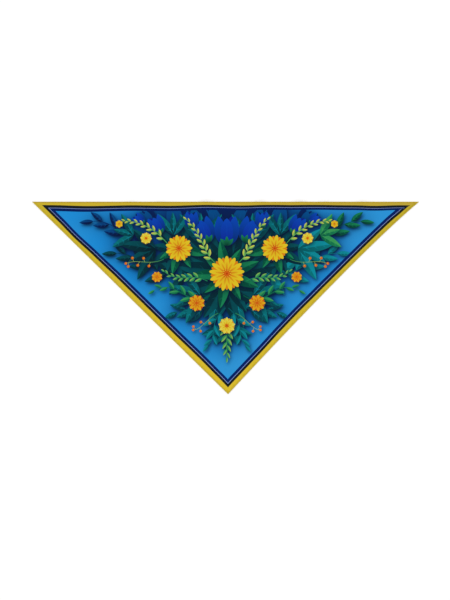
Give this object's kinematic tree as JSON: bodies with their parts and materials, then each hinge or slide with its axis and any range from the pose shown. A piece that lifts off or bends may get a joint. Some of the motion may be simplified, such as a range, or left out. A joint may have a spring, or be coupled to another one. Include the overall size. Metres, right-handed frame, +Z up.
{
  "type": "neckerchief",
  "caption": "Triangular neckerchief of light printed cloth, laid flat, with a slim rolled hem on each edge and soft ripples along its long edge.",
  "frame": {"origin": "on the table the cloth lies on, in the middle of its length and depth", "axes": "+X along the long edge to the viewer's right, +Y from the point towards the long edge, +Z up out of the printed side"},
  "size_m": [0.9194, 0.4572, 0.0056],
  "materials": {
    "cloth": "smooth printed twill with a faint sheen",
    "hem": "the same twill, rolled and sewn"
  },
  "bodies": {
    "root": {"cloth": "cloth", "hem_top": "hem", "hem_left": "hem", "hem_right": "hem"}
  },
  "joints": []
}
